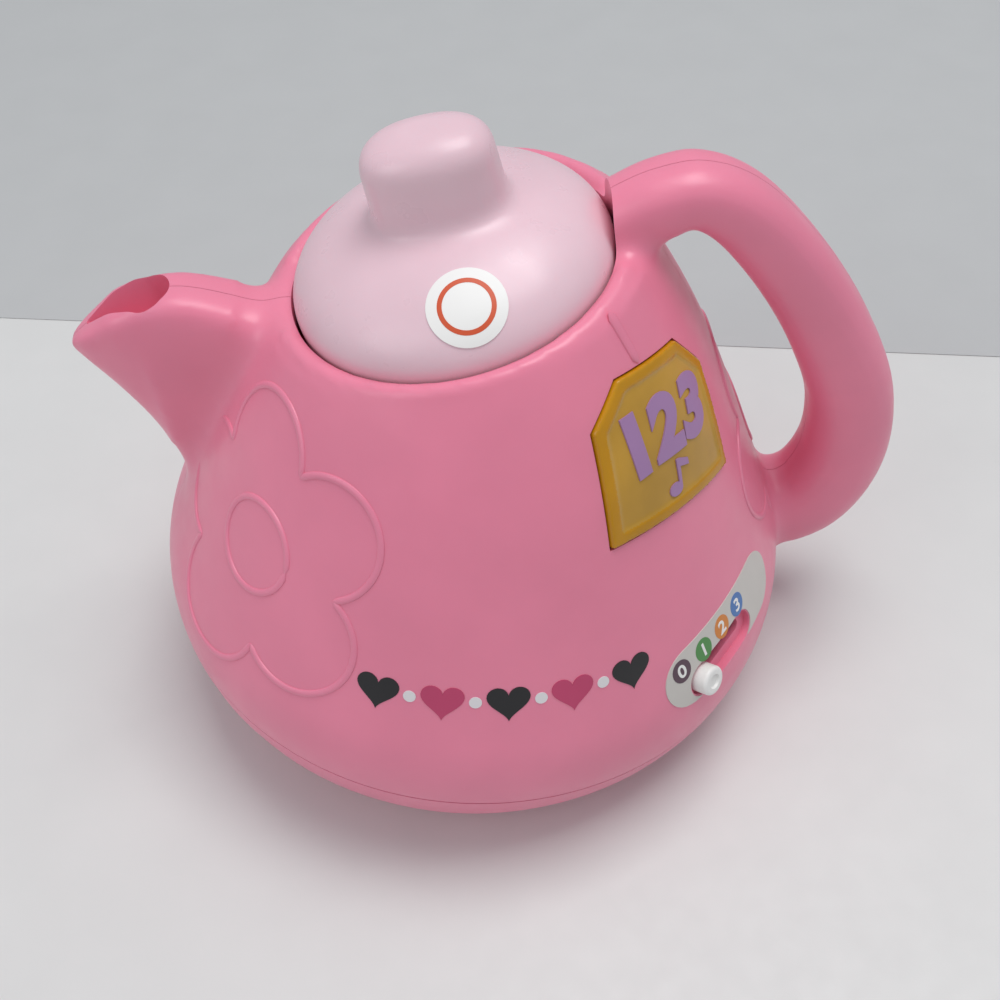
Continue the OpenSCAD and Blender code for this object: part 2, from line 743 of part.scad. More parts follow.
// Round sticker on the front of the dome
sticker_az = 8.5;
sticker_out = 25;
sticker_t = 0.25;
sticker_tilt = atan((sticker_out / pow(lid_r, 2)) / (sqrt(1 - pow(sticker_out / lid_r, 2)) / dome_h));
sticker_h = rim_h + dome_h * sqrt(1 - pow(sticker_out / lid_r, 2));
module lid_sticker() {
    color(white) tilted() intersection() {
        difference() {
            dome_solid(-sticker_t, rim_h);
            dome_solid(-0.02, rim_h - 1);
        }
        rotate([0, 0, sticker_az]) translate([0, -sticker_out, sticker_h]) rotate([sticker_tilt, 0, 0])
            translate([0, 0, -3]) cylinder(d = sticker_d, h = 6);
    }
}

module lid_carrier() {
    color(white) {
        difference() {
            tilted() translate([0, 0, carrier_top - carrier_t]) cylinder(r = carrier_boss_out + carrier_boss_r, h = carrier_t - seat);
            at_carrier_bosses() translate([0, 0, carrier_top - 20]) cylinder(r = carrier_shank_r + bore_play, h = 40, $fn = 32);
            tag_plate(carrier_clear, bezel_low - 1, tag_proud);
        }
        tilted() at_posts() translate([0, 0, carrier_top - carrier_t]) cylinder(r = post_r, h = post_top - carrier_top + carrier_t, $fn = 32);
    }
}

module carrier_screws() {
    color(steel) at_carrier_bosses() translate([0, 0, carrier_top - carrier_t - carrier_head[1] - seat])
        screw(carrier_head[0], carrier_head[1], carrier_shank_r, carrier_t + carrier_bite);
}

// Return springs of the lid, round the carrier's posts
module lid_springs() {
    color(steel) tilted() at_posts() translate([0, 0, carrier_top]) difference() {
        cylinder(r = post_r + spring_wall, h = tube_low - carrier_top - seat, $fn = 32);
        translate([0, 0, -eps]) cylinder(r = post_r + play, h = big, $fn = 32);
    }
}

module lid_switch() {
    color(black) tilted() translate([0, 0, carrier_top]) {
        translate([-switch_w / 2, -switch_w / 2, 0]) cube([switch_w, switch_w, switch_h - switch_button[1]]);
        cylinder(r = switch_button[0], h = switch_h, $fn = 32);
    }
}

module tag_button() {
    color(amber) difference() {
        union() {
            intersection() {
                tag_plate(0, tag_flange_low, tag_high);
                body_solid(-tag_proud);
            }
            tag_plate(tag_ledge, tag_flange_low, tag_flange_top);
        }
        intersection() {
            tag_plate(-tag_side, tag_flange_low - 1, tag_high);
            body_solid(tag_skin - tag_proud);
        }
        tilted() translate([0, 0, skirt_low - lid_travel - lid_clear - tag_travel])
            cylinder(r = lid_r + lid_clear + tag_travel, h = big);
    }
}

// Keeps the tag's inner pieces clear of the wall, a screw boss and the pressed lid
module inside_shell() {
    difference() {
        intersection() {
            children();
            body_solid(wall + seat);
        }
        tilted() translate([0, 0, skirt_low - lid_travel - lid_clear])
            cylinder(r = rim_in + wall + play, h = big);
        across(shell_screw_at[1], shell_boss_r + play, -belly_r, belly_r);
    }
}

module tag_bezel() {
    color(white) inside_shell() difference() {
        tag_plate(bezel_rim, bezel_low, tag_seat - seat);
        tag_plate(bezel_in, bezel_low + bezel_floor, 0);
    }
}

module tag_pad() {
    color(white) inside_shell() difference() {
        tag_plate(pad_out, tag_board_top + seat, tag_flange_low - seat);
        tag_plate(-pad_in, tag_board_top - 1, 0);
    }
}

module tag_board() {
    color(board_green) inside_shell() tag_plate(board_out, tag_board_low, tag_board_top);
}

lamp_at = [-8, 8];
lamp_y = -2;
lamp_size = [2.5, 2.4];
module tag_lamps() {
    color(white) at_tag() for (x = lamp_at)
        translate([x, lamp_y, tag_board_top]) cylinder(r = lamp_size[0], h = lamp_size[1], $fn = 32);
}

// Slider at the 0 end of its slot
switch_size = [slot_travel + 12, 8, 6];
fork_depth = 2.5;
module slider_knob() {
    color(white) at_slot() translate([-slot_travel / 2, 0, 0]) {
        translate([0, 0, pocket_floor + play]) cylinder(d = slider_d, h = 4.4);
        translate([0, 0, slot_back - fork_depth]) cylinder(d = stem_w, h = fork_depth - slot_back, $fn = 32);
    }
}

module level_switch() {
    color(black) at_slot() difference() {
        translate([-switch_size[0] / 2, -switch_size[1] / 2, slot_back - seat - switch_size[2]]) cube(switch_size);
        translate([0, 0, slot_back - fork_depth - play - seat]) linear_extrude(20) stadium(slot_travel, stem_w + 2 * play);
    }
}

// Label round the slot: a band above it with a round lower end
label_t = 0.2;
label_size = [42, 15];
label_at = [3.5, 3.6];
module switch_label() {
    color(white) difference() {
        intersection() {
            body_solid(-label_t);
            at_slot() translate([label_at[0], label_at[1], -10]) linear_extrude(20)
                stadium(label_size[0] - label_size[1], label_size[1]);
        }
        body_solid(-0.02);
        at_slot() translate([0, 0, -20]) linear_extrude(40) stadium(slot_travel, slot_w + 0.6);
    }
}

front_shell();
rear_shell();
base_cover();
battery_door();
door_screw();
base_screws();
shell_screws();
batteries();
spring_contacts();
button_contacts();
speaker();
speaker_clip();
circuit_board();
board_screws();
tilt_switch();
lid();
lid_sticker();
lid_carrier();
carrier_screws();
lid_springs();
lid_switch();
tag_button();
tag_bezel();
tag_pad();
tag_board();
tag_lamps();
slider_knob();
level_switch();
switch_label();
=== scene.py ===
# %% [markdown]
# A toy teapot in soft pink plastic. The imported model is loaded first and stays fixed: it says where
# every piece sits. The looks are then built around it, one piece to a cell, in metres and in the same
# frame.

# %% Load the frame
import json
import math

import bmesh
import bpy
from mathutils import Matrix, Vector
from mathutils.bvhtree import BVHTree


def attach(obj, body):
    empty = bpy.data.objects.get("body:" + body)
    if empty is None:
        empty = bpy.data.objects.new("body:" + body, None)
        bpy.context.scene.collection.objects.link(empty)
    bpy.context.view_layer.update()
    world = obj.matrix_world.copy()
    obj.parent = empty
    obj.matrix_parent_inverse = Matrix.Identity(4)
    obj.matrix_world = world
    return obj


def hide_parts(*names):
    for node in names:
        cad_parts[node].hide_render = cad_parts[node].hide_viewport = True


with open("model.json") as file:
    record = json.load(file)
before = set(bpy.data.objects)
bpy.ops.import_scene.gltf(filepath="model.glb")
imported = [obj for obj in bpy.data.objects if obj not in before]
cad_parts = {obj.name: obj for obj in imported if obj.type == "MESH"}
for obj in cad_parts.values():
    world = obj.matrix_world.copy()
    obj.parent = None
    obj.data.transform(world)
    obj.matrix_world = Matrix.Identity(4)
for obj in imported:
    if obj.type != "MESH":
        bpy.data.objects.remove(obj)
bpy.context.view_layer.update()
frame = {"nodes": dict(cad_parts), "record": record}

# %% [markdown]
# The photograph looks down on the pot from the front. A camera is a place, three axes and a focal
# length. The axes are worked out from pan, tilt and roll, because that is how a photographer would
# turn it.

# %% Camera
mm = 0.001
camera_at = Vector((2.8735, -199.109, 270.712)) * mm
camera_pan, camera_tilt, camera_roll = 0.0304867, 0.8590985, -0.0561301
ahead = Vector((math.sin(camera_pan) * math.cos(camera_tilt),
                math.cos(camera_pan) * math.cos(camera_tilt), -math.sin(camera_tilt)))
level = Vector((math.cos(camera_pan), -math.sin(camera_pan), 0))
upright = level.cross(ahead)
across = math.cos(camera_roll) * level + math.sin(camera_roll) * upright
upward = math.cos(camera_roll) * upright - math.sin(camera_roll) * level
camera_data = bpy.data.cameras.new("photo_camera")
camera_data.sensor_width = 36
camera_data.lens = 45.672
camera_data.clip_start = 0.01
camera = bpy.data.objects.new("photo_camera", camera_data)
camera.matrix_world = Matrix.Translation(camera_at) @ Matrix((across, upward, -ahead)).transposed().to_4x4()
bpy.context.collection.objects.link(camera)
bpy.context.scene.camera = camera
print("camera looks down by", round(math.degrees(camera_tilt), 1), "degrees")

# %% [markdown]
# A few small tools follow. A spin turns an outline round the Z axis, a loft runs a skin through
# rings, and a prism raises a flat outline. Booleans then join or cut these closed forms, as a mould
# maker would.

# %% Shaping tools
def closed(bm, weld=1e-6):
    """Merges doubled points and turns all faces outwards."""
    bmesh.ops.remove_doubles(bm, verts=bm.verts, dist=weld)
    bmesh.ops.dissolve_degenerate(bm, edges=bm.edges, dist=weld)
    bmesh.ops.recalc_face_normals(bm, faces=bm.faces)
    return bm


def chain(bm, points, ring=False):
    """A row of points joined by edges, closed where it is a ring."""
    verts = [bm.verts.new(p) for p in points]
    pairs = list(zip(verts, verts[1:])) + ([(verts[-1], verts[0])] if ring else [])
    return [bm.edges.new(pair) for pair in pairs]


def spun(outline, steps=144, ring=False):
    """Turns an outline of (radius, height) points round the Z axis."""
    bm = bmesh.new()
    edges = chain(bm, [(r, 0, z) for r, z in outline], ring)
    bmesh.ops.spin(bm, geom=bm.verts[:] + edges, cent=(0, 0, 0), axis=(0, 0, 1),
                   angle=2 * math.pi, steps=steps, use_merge=True)
    return closed(bm)


def lofted(rings):
    """A closed skin through rings that have the same number of points."""
    bm = bmesh.new()
    loops = [chain(bm, ring, True) for ring in rings]
    for one, two in zip(loops, loops[1:]):
        bmesh.ops.bridge_loops(bm, edges=one + two)
    for end in (loops[0], loops[-1]):
        bmesh.ops.contextual_create(bm, geom=end)
    return closed(bm)


def prism(outline, low, high, place=Matrix.Identity(4)):
    """Raises a flat outline between two heights and puts it in its place."""
    bm = bmesh.new()
    base = bm.faces.new([bm.verts.new((x, y, low)) for x, y in outline])
    raised = bmesh.ops.extrude_face_region(bm, geom=[base])["geom"]
    lifted = [v for v in raised if isinstance(v, bmesh.types.BMVert)]
    bmesh.ops.translate(bm, verts=lifted, vec=(0, 0, high - low))
    bm.transform(place)
    return closed(bm)


def block(low, high, place=Matrix.Identity(4)):
    """A box between two corners."""
    (x0, y0, z0), (x1, y1, z1) = low, high
    return prism([(x0, y0), (x1, y0), (x1, y1), (x0, y1)], z0, z1, place)


def finished(bm, modifiers):
    """Runs modifiers on a bmesh and gives the result as a new bmesh."""
    mesh = bpy.data.meshes.new("work")
    bm.to_mesh(mesh)
    bm.free()
    work = bpy.data.objects.new("work", mesh)
    bpy.context.collection.objects.link(work)
    helpers = [set_up(work) for set_up in modifiers]
    result = bmesh.new()
    evaluated = work.evaluated_get(bpy.context.evaluated_depsgraph_get())
    result.from_mesh(evaluated.to_mesh())
    evaluated.to_mesh_clear()
    for helper in helpers + [work]:
        if helper:
            old = helper.data
            bpy.data.objects.remove(helper)
            bpy.data.meshes.remove(old)
    return result


def boolean(bm, tool, operation):
    """Joins, cuts or keeps the overlap of two closed forms; the tool is used up."""
    def set_up(work):
        mesh = bpy.data.meshes.new("tool")
        tool.to_mesh(mesh)
        tool.free()
        other = bpy.data.objects.new("tool", mesh)
        bpy.context.collection.objects.link(other)
        step = work.modifiers.new(operation, "BOOLEAN")
        step.operation, step.solver, step.object = operation, "MANIFOLD", other
        return other
    return finished(bm, [set_up])


def joined(bm, tool):
    return boolean(bm, tool, "UNION")


def cut(bm, tool):
    return boolean(bm, tool, "DIFFERENCE")


def kept(bm, tool):
    return boolean(bm, tool, "INTERSECT")


def remeshed(bm, grain):
    """An even skin of small squares over a closed form, ready to be smoothed."""
    def set_up(work):
        step = work.modifiers.new("skin", "REMESH")
        step.mode, step.voxel_size = "VOXEL", grain
    return finished(bm, [set_up])


def smoothed(bm, verts, times):
    for _ in range(times):
        bmesh.ops.smooth_vert(bm, verts=verts, factor=0.5, use_axis_x=True, use_axis_y=True, use_axis_z=True)
    return bm


def softened(bm, forms, reach, times):
    """Rounds the corner where two forms meet: only points close to both are smoothed."""
    trees = [BVHTree.FromBMesh(form) for form in forms]
    near = [v for v in bm.verts if all(tree.find_nearest(v.co)[3] < reach for tree in trees)]
    return smoothed(bm, near, times)


def through(rows, s):
    """Smooth row of values between the rows of a table."""
    last = len(rows) - 1
    i = min(int(s), last - 1)
    t = s - i
    a, b, c, d = (Vector(rows[max(0, min(last, k))]) for k in (i - 1, i, i + 1, i + 2))
    return 0.5 * (2 * b + t * (c - a) + t * t * (2 * a - 5 * b + 4 * c - d)
                  + t ** 3 * (3 * b - a - 3 * c + d))


def arc(centre, radius, start, end, steps):
    turns = [math.radians(start + (end - start) * i / steps) for i in range(steps + 1)]
    return [(centre[0] + radius * math.cos(a), centre[1] + radius * math.sin(a)) for a in turns]


def pushed(value, power):
    """A sine or cosine pushed towards a square outline."""
    return math.copysign(abs(value) ** power, value)


# %% [markdown]
# Moulded toy plastic is not one flat colour: it has faint cloudy tint, a satin gloss that changes a
# little from place to place, and a fine grain. One recipe with a few settings makes all the plastics
# of the pot.

# %% Finishes
def colour_of(code):
    """Linear colour from a six-digit sRGB code."""
    parts = [int(code[i:i + 2], 16) / 255 for i in (0, 2, 4)]
    return [c / 12.92 if c <= 0.04045 else ((c + 0.055) / 1.055) ** 2.4 for c in parts] + [1]


def plastic(name, code, rough=0.38, cloud=0.05, grain=0.03, scuff=0.1, glow=0.0):
    """Procedural moulded plastic: cloudy tint, patchy gloss, fine grain."""
    finish = bpy.data.materials.new(name)
    finish.use_nodes = True
    nodes, links = finish.node_tree.nodes, finish.node_tree.links
    shader = nodes["Principled BSDF"]
    place = nodes.new("ShaderNodeTexCoord").outputs["Object"]

    def noise(scale, detail):
        node = nodes.new("ShaderNodeTexNoise")
        node.inputs["Scale"].default_value = scale
        node.inputs["Detail"].default_value = detail
        links.new(place, node.inputs["Vector"])
        return node.outputs["Fac"]

    def ramp(source, low, high, start=0.35, end=0.65):
        node = nodes.new("ShaderNodeValToRGB")
        node.color_ramp.elements[0].position, node.color_ramp.elements[1].position = start, end
        node.color_ramp.elements[0].color, node.color_ramp.elements[1].color = low, high
        links.new(source, node.inputs["Fac"])
        return node.outputs["Color"]

    tint = colour_of(code)
    dark = [c * (1 - cloud) for c in tint[:3]] + [1]
    light = [min(1, c * (1 + cloud)) for c in tint[:3]] + [1]
    links.new(ramp(noise(45, 4), dark, light), shader.inputs["Base Color"])
    links.new(ramp(noise(160, 6), [rough - scuff / 2] * 3 + [1], [rough + scuff / 2] * 3 + [1]),
              shader.inputs["Roughness"])
    bump = nodes.new("ShaderNodeBump")
    bump.inputs["Strength"].default_value = grain
    bump.inputs["Distance"].default_value = 0.2 * mm
    links.new(noise(1400, 2), bump.inputs["Height"])
    links.new(bump.outputs["Normal"], shader.inputs["Normal"])
    shader.inputs["Subsurface Weight"].default_value = glow
    shader.inputs["Subsurface Radius"].default_value = (4 * mm, 2 * mm, 2 * mm)
    shader.inputs["Subsurface Scale"].default_value = 1
    return finish


body_pink = plastic("body_pink", "ef88a3", rough=0.36, cloud=0.03, glow=0.08)
lid_pink = plastic("lid_pink", "e9c6d0", rough=0.32, cloud=0.02, glow=0.08)
switch_white = plastic("switch_white", "efedea", rough=0.35, cloud=0.02)
print("finishes so far", len(bpy.data.materials))

# %% [markdown]
# The body is round about an axis that leans a little to the handle, and the rim is cut at a slope of
# its own. Two matrices hold these frames, and a third one sets a small flat frame anywhere on the
# wall.

# %% Body outline and frames
lean, rim_tilt, base_cut = math.radians(4.1), math.radians(9.7), 3 * mm
belly_r, belly_h, belly_round, side_slope = 73 * mm, 34 * mm, 34 * mm, 23.8
shoulder_h, rim_h, rim_r, wall = 85.5 * mm, 116 * mm, 37.25 * mm, 2.6 * mm
lip_w = 4.2 * mm
far = 0.3
slope_tan = math.tan(math.radians(side_slope))
belly_c = (belly_r - belly_round, belly_h)
side_r = belly_c[0] + belly_round * math.cos(math.radians(side_slope))
side_h = belly_c[1] + belly_round * math.sin(math.radians(side_slope))
shoulder_r = side_r - (shoulder_h - side_h) * slope_tan
neck_r = rim_r - 0.5 * mm
rim_slope = 2 * math.degrees(math.atan((shoulder_r - neck_r) / (rim_h - shoulder_h))) - side_slope
shoulder_round = ((rim_h - shoulder_h)
                  / (math.sin(math.radians(rim_slope)) - math.sin(math.radians(side_slope))))
shoulder_c = (shoulder_r - shoulder_round * math.cos(math.radians(side_slope)),
              shoulder_h - shoulder_round * math.sin(math.radians(side_slope)))
rim_skew = rim_tilt + lean
rim_x = -neck_r * math.tan(math.radians(rim_slope)) * math.tan(rim_skew)
crown_h = rim_h + rim_r * math.tan(rim_skew) + 2 * mm
leaning = Matrix.Translation((0, 0, -base_cut)) @ Matrix.Rotation(lean, 4, "Y")
tilted = (leaning @ Matrix.Translation((rim_x, 0, rim_h + rim_x * math.tan(rim_skew)))
          @ Matrix.Rotation(-rim_skew, 4, "Y") @ Matrix.Translation((0, 0, -rim_h)))


def body_radius(h):
    """Outer radius of the body at a height on its axis."""
    if h < side_h:
        return belly_c[0] + math.sqrt(belly_round ** 2 - (h - belly_h) ** 2)
    if h < shoulder_h:
        return side_r - (h - side_h) * slope_tan
    return shoulder_c[0] + math.sqrt(shoulder_round ** 2 - (h - shoulder_c[1]) ** 2)


def wall_slope(h):
    """How far the wall leans inwards at a height, in degrees."""
    if h < side_h:
        return math.degrees(math.asin((h - belly_h) / belly_round))
    return side_slope if h < shoulder_h else math.degrees(math.asin((h - shoulder_c[1]) / shoulder_round))


def on_wall(turn, h, roll=0.0):
    """A frame on the wall: X along the body, Y up the wall, Z outwards."""
    return (leaning @ Matrix.Rotation(math.radians(turn), 4, "Z")
            @ Matrix.Translation((0, -body_radius(h), h))
            @ Matrix.Rotation(math.radians(90 - wall_slope(h)), 4, "X")
            @ Matrix.Rotation(math.radians(roll), 4, "Z"))


def body_form(inset, below_rim=True):
    """The closed body, moved in from its outer face, up to the sloping rim."""
    crown = math.degrees(math.asin((crown_h - shoulder_c[1]) / shoulder_round))
    outline = [(0, inset)] + arc((belly_r - belly_h, belly_h), belly_h - inset, -90, 0, 24)
    outline += arc(belly_c, belly_round - inset, 2, side_slope, 8)
    outline += arc(shoulder_c, shoulder_round - inset, side_slope, crown, 16)
    outline += [(0, outline[-1][1])]
    bm = spun(outline)
    bm.transform(leaning)
    if below_rim:
        bm = cut(bm, block((-far, -far, rim_h - inset), (far, far, rim_h + far), tilted))
    return bm


print("belly across", round(2 * belly_r / mm), "mm, rim across", round(2 * rim_r / mm, 1), "mm")

# %% [markdown]
# Spout and handle are lofts. Each table row gives one station, and smooth curves run between the
# rows. The spout is a keel below and flat with rounded edges on top; the handle is a soft oval that
# grows thicker.

# %% Spout and handle forms
spout_rows = [(28, 102.8, 44, 10), (38, 106.8, 47.1, 9.3), (48, 110.8, 50.1, 8.5), (54, 111.8, 52, 8.3),
              (60.6, 111.1, 54, 8), (61.6, 110.8, 62, 7.9), (63.4, 109.9, 71.8, 7.6),
              (66.1, 108.7, 79.6, 7.1), (69.7, 105.9, 87.1, 5.8), (73, 103.3, 93, 4.5),
              (74.8, 101.8, 96, 3), (76, 100.5, 98, 2)]
spout_square, spout_sides, spout_fine = 0.42, 72, 6


def spout_ring(s):
    x, top, low, half = through(spout_rows, s)
    ring = []
    for i in range(spout_sides):
        a = 2 * math.pi * i / spout_sides
        t = (1 - pushed(math.cos(a), spout_square)) / 2
        keel = 0.2 + 0.8 * t ** 0.7
        side = -half * pushed(math.sin(a), spout_square) * keel
        ring.append(Vector((-x, side, low + (top - low) * t)) * mm)
    return ring


handle_rows = [(28, 114.5), (35.5, 119.5), (43, 124), (50.2, 125.2), (59.5, 119.2), (71.4, 104), (81.4, 86.6),
               (88.6, 68), (89.5, 49), (82.5, 34.5), (67, 30)]
handle_top, handle_low, handle_side, handle_flare = 6.5, 11, 8, 2.5
handle_sides, handle_fine = 40, 8


def handle_ring(s):
    last = len(handle_rows) - 1
    middle = through(handle_rows, s)
    before, after = through(handle_rows, max(s - 0.02, 0)), through(handle_rows, min(s + 0.02, last))
    ahead_2d = (after - before).normalized()
    thick = (handle_top + (handle_low - handle_top) * min(1, max(0, (s - 3) / (last - 4)))
             + handle_flare * max(0, 1 - s / 2.5))
    deep = handle_side + 2 * max(0, 2 * s / last - 1)
    ring = []
    for i in range(handle_sides):
        a = 2 * math.pi * (i + 0.5) / handle_sides
        out, side = thick * pushed(math.cos(a), 0.8), -deep * pushed(math.sin(a), 0.8)
        ring.append(Vector((middle[0] - ahead_2d[1] * out, side, middle[1] + ahead_2d[0] * out)) * mm)
    return ring


spout_form = lofted([spout_ring(k / spout_fine) for k in range(spout_fine * (len(spout_rows) - 1) + 1)])
handle_form = lofted([handle_ring(k / handle_fine) for k in range(handle_fine * (len(handle_rows) - 1) + 1)])
print("spout", len(spout_form.faces), "faces, handle", len(handle_form.faces), "faces")

# %% [markdown]
# The pot is moulded in one sweep: spout and handle flow out of the body with soft corners. The three
# forms are joined, covered with an even skin, and only the corners where they meet are smoothed.
# Crisp things come later.

# %% Outer skin of the pot
skin_grain = 0.9 * mm
lip_ring = spun(arc((rim_r - lip_w / 2, rim_h), lip_w / 2 - 0.2 * mm, 0, 360, 24)[:-1], ring=True)
lip_ring.transform(tilted)
body = body_form(0)
plain_body = body.copy()
pot = joined(body, lip_ring)
for limb in (spout_form, handle_form):
    pot = joined(pot, limb.copy())
pot = remeshed(pot, skin_grain)
smoothed(pot, pot.verts[:], 2)
softened(pot, [plain_body, spout_form], 6 * mm, 40)
softened(pot, [plain_body, handle_form], 5 * mm, 30)
print("outer skin", len(pot.faces), "faces")

# %% [markdown]
# Now the openings: the hollow inside, the round well for the lid, the blind drop-shaped mouth of the
# spout, the window of the tag, the pocket of the slider and the screw bores of the rear half. The
# base tray is a piece of its own, so the skin ends at a seam.

# %% Openings in the skin
def stadium(length, width, steps=16):
    """Outline of a slot with round ends."""
    return arc((length / 2, 0), width / 2, -90, 90, steps) + arc((-length / 2, 0), width / 2, 90, 270, steps)


lid_gap, sleeve_h = 0.6 * mm, 9 * mm
rim_in = rim_r - lip_w
mouth_rear, mouth_wall, mouth_depth = 52 * mm, 1.6 * mm, 6 * mm
mouth_l, mouth_r, mouth_tip_r = 19 * mm, 5.44 * mm, 0.8 * mm
lip_top, lip_fall, lip_run = 111.8 * mm, 12.8 * mm, 24 * mm
mouth_place = (Matrix.Translation((-mouth_rear - mouth_wall, 0, lip_top))
               @ Matrix.Rotation(-math.atan2(lip_fall, lip_run), 4, "Y"))
mouth_outline = (arc((-mouth_r, 0), mouth_r, -100, 100, 24) + arc((-mouth_l, 0), mouth_tip_r, 100, 260, 8))
tag_place = on_wall(46, 98.5 * mm, -6)
slot_place = on_wall(46, 47 * mm, 7)
slot_travel, slot_w, pocket_floor, slot_back, stem_w = 15 * mm, 8 * mm, -2.4 * mm, -4.4 * mm, 2.4 * mm
tag_low_w, tag_top_w, tag_l = 36.5 * mm, 33.5 * mm, 31.5 * mm
tag_clip, tag_gap, tag_proud = 7.5 * mm, 0.4 * mm, 0.8 * mm
seam_place = Matrix.Translation((0, 0, 27 * mm)) @ Matrix.Rotation(math.radians(5.8), 4, "Y")


def tag_outline(grow):
    """The tag's six corners, moved out on every side."""
    top, low, clip = tag_l / 2 + grow, -tag_l / 2 - grow, tag_clip - 0.42 * grow
    return [(-tag_low_w / 2 - grow, low), (tag_low_w / 2 + grow, low),
            (tag_top_w / 2 + grow, tag_l / 2 - clip), (tag_top_w / 2 - clip, top),
            (-tag_top_w / 2 + clip, top), (-tag_top_w / 2 - grow, tag_l / 2 - clip)]


pot = cut(pot, body_form(wall))
pot = cut(pot, prism(arc((0, 0), rim_in, 0, 360, 144)[:-1], rim_h - sleeve_h, rim_h + 0.1, tilted))
pot = cut(pot, prism(mouth_outline, -mouth_depth, 3 * mouth_depth, mouth_place))
pot = cut(pot, prism(tag_outline(tag_gap), -20 * mm, 20 * mm, tag_place))
slot_backing = prism(stadium(slot_travel + 4 * mm, slot_w + 6 * mm), slot_back, 0, slot_place)
pot = joined(pot, kept(slot_backing, body_form(wall / 2)))
pot = cut(pot, prism(stadium(slot_travel, slot_w), pocket_floor, 20 * mm, slot_place))
pot = cut(pot, prism(stadium(slot_travel, stem_w + 0.7 * mm), slot_back - 6 * mm, 20 * mm, slot_place))
pot = cut(pot, block((-far, -far, -far), (far, far, 0), seam_place))
screw_at = ((-46, 60), (52, 64), (88.5, 66), (51, 124.8))
screw_seat, screw_bore = 5 * mm, 3.15 * mm
for x, z in screw_at:
    bore_place = Matrix.Translation((x * mm, screw_seat, z * mm)) @ Matrix.Rotation(math.radians(-90), 4, "X")
    pot = cut(pot, prism(arc((0, 0), screw_bore, 0, 360, 40)[:-1], 0, 0.1, bore_place))
print("skin with openings", len(pot.faces), "faces")

# %% [markdown]
# The skin is parted down the middle, from spout to handle, because the real pot is two mouldings
# screwed together. A hair-fine gap stays between the halves, as on any toy of this kind.

# %% Two shells
def piece(name, bm, finish, rides_on, stands_for=(), sharp=35):
    """Makes an object of a bmesh, smooth apart from its sharp edges, and ties it to a body of the frame."""
    for face in bm.faces:
        face.smooth = True
    for edge in bm.edges:
        edge.smooth = not (edge.is_manifold and edge.calc_face_angle(0) > math.radians(sharp))
    mesh = bpy.data.meshes.new(name)
    bm.to_mesh(mesh)
    bm.free()
    mesh.materials.append(finish)
    thing = bpy.data.objects.new(name, mesh)
    bpy.context.collection.objects.link(thing)
    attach(thing, rides_on)
    if stands_for:
        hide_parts(*stands_for)
    print(name, len(mesh.polygons), "faces")
    return thing


part_line = 0.06 * mm
front_half = cut(pot.copy(), block((-far, -part_line, -far), (far, far, far)))
rear_half = cut(pot, block((-far, -far, -far), (far, part_line, far)))
piece("front_shell_skin", front_half, body_pink, "pot", ["front_shell"])
piece("rear_shell_skin", rear_half, body_pink, "pot", ["rear_shell"])

# %% [markdown]
# Base tray, battery door and inner pieces are right as the frame has them. The tray shows below the
# seam, so a merged copy of it is shaded smooth; the others keep their own mesh and only get a finish.

# %% Base tray
def smooth_copy(node):
    """A merged copy of a node's loose triangles."""
    bm = bmesh.new()
    bm.from_mesh(frame["nodes"][node].data)
    bmesh.ops.remove_doubles(bm, verts=bm.verts, dist=2e-6)
    return bm


piece("base_tray", smooth_copy("base_cover"), body_pink, "pot", ["base_cover"], 28)

# %% [markdown]
# The lid is a low dome with an oval knob that grows out of it. It is made as the pot was: a spin and
# a loft are joined, skinned and softened where they meet, and then hollowed from below.

# %% Lid
lid_r, dome_h, lid_wall, skirt_h = rim_in - lid_gap, 15.5 * mm, 2 * mm, 8 * mm
knob_l, knob_w, knob_shift = 26.5 * mm, 18.5 * mm, 1.2 * mm
knob_rows = [(-5, 1.1), (-1.5, 1.06), (0.5, 1), (7, 0.97), (11, 0.95), (13.4, 0.84), (15, 0.62), (16, 0.3)]


def dome_form(inset, low):
    turns = [math.radians(3 * i) for i in range(31)]
    outline = [(0, low), (lid_r - inset, low)]
    outline += [((lid_r - inset) * math.cos(a), rim_h + (dome_h - inset) * math.sin(a)) for a in turns[:-1]]
    return spun(outline + [(0, rim_h + dome_h - inset)])


def knob_ring(s):
    height, share = through(knob_rows, s)
    turns = [2 * math.pi * i / 64 for i in range(64)]
    return [(knob_shift + share * knob_l / 2 * pushed(math.cos(a), 0.8),
             share * knob_w / 2 * pushed(math.sin(a), 0.9), rim_h + dome_h + height * mm) for a in turns]


knob = lofted([knob_ring(k / 5) for k in range(5 * (len(knob_rows) - 1) + 1)])
dome = dome_form(0, rim_h - skirt_h)
plain_dome = dome.copy()
lid_form = remeshed(joined(dome, knob.copy()), 0.7 * mm)
smoothed(lid_form, lid_form.verts[:], 3)
softened(lid_form, [plain_dome, knob], 4 * mm, 25)
lid_form = cut(lid_form, dome_form(lid_wall, rim_h - skirt_h - 5 * mm))
lid_form.transform(tilted)
piece("lid_skin", lid_form, lid_pink, "lid_top", ["lid"], 50)

# %% [markdown]
# A round white sticker lies on the front of the dome. It is the skin of a slightly larger dome inside
# a cylinder. A thin coloured ring near its edge is the only print.

# %% Lid sticker
sticker_r, sticker_turn, sticker_out = 7.5 * mm, 8.5, 25 * mm
sticker_rise = dome_h * math.sqrt(1 - (sticker_out / lid_r) ** 2)
sticker_tilt = math.atan((sticker_out / lid_r ** 2) / (sticker_rise / dome_h ** 2))
sticker_place = (tilted @ Matrix.Rotation(math.radians(sticker_turn), 4, "Z")
                 @ Matrix.Translation((0, -sticker_out, rim_h + sticker_rise))
                 @ Matrix.Rotation(sticker_tilt, 4, "X"))


